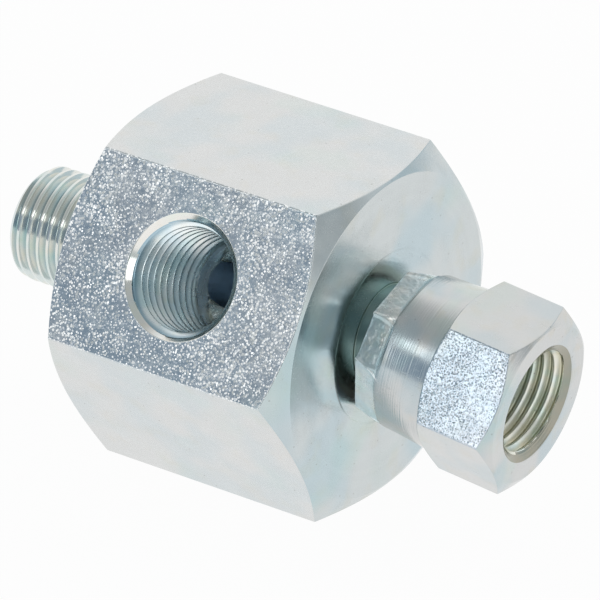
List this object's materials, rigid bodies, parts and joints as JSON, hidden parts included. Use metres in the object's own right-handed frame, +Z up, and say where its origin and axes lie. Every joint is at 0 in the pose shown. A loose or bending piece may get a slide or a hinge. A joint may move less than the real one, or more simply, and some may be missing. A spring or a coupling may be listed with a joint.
{
  "type": "test point adapter",
  "caption": "Hexagonal hydraulic test point adapter: male stud at one end, crimped swivel nut at the other, tapped test port in one flat.",
  "frame": {"origin": "on the flow axis, in the face of the hexagon that the male stud stands on", "axes": "+X along the flow axis from the stud to the swivel nut, +Z up and square to the upper flat, with the part lying on the opposite flat; the test port opens towards -Y and +Z, 60 degrees from +Z"},
  "size_m": [0.0678, 0.0438, 0.038],
  "materials": {
    "plated_body": "bright zinc-plated steel, turned ends and drawn hexagon flats",
    "plated_nut": "bright zinc-plated steel, turned and crimped"
  },
  "bodies": {
    "body": {"adapter_body": "plated_body"},
    "nut": {"swivel_nut": "plated_nut"}
  },
  "joints": [
    {"name": "nut_spin", "type": "hinge", "parent": "body", "child": "nut", "pos_m": [0.03298, -0.00029, -0.00014], "axis": [0.9924, 0.0289, -0.1194], "continuous": true}
  ]
}
